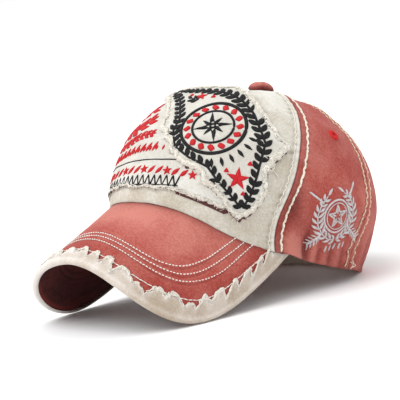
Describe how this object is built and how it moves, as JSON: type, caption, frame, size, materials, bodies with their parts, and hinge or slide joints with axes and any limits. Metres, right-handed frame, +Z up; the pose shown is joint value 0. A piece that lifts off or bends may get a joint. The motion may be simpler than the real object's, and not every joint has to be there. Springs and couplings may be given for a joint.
{
  "type": "snapback cap",
  "caption": "Washed canvas cap with a stiff cream front, coral sides and back, a curved peak with a torn border, torn front patches, a covered button and a plain back strap.",
  "frame": {"origin": "on the surface that the cap rests on, under the middle of its length and width", "axes": "+Z up, the peak points along -Y, the wearer's left is +X"},
  "size_m": [0.1755, 0.2607, 0.1424],
  "materials": {
    "coral_twill": "washed cotton twill, faded at seams and folds",
    "cream_canvas": "washed cotton canvas",
    "border_canvas": "washed canvas with a frayed edge",
    "red_thread": "satin-stitched thread",
    "cream_thread": "thick cotton topstitching",
    "black_thread": "satin-stitched thread",
    "grey_thread": "satin-stitched thread",
    "dark_twill": "dark twill under the peak",
    "band_cotton": "plain woven cotton",
    "strap_plastic": "moulded plastic, stone coloured"
  },
  "bodies": {
    "root": {"front_panel": "cream_canvas", "side_panel_left": "coral_twill", "side_panel_right": "coral_twill", "back_panel_left": "coral_twill", "back_panel_right": "coral_twill", "side_eyelet_left": "red_thread", "side_eyelet_right": "red_thread", "back_eyelet_left": "red_thread", "back_eyelet_right": "red_thread", "peak": "coral_twill", "peak_border": "border_canvas", "lower_patch": "cream_canvas", "badge_patch": "cream_canvas", "top_button": "coral_twill", "sweatband": "band_cotton", "snap_strap": "strap_plastic"}
  },
  "joints": []
}
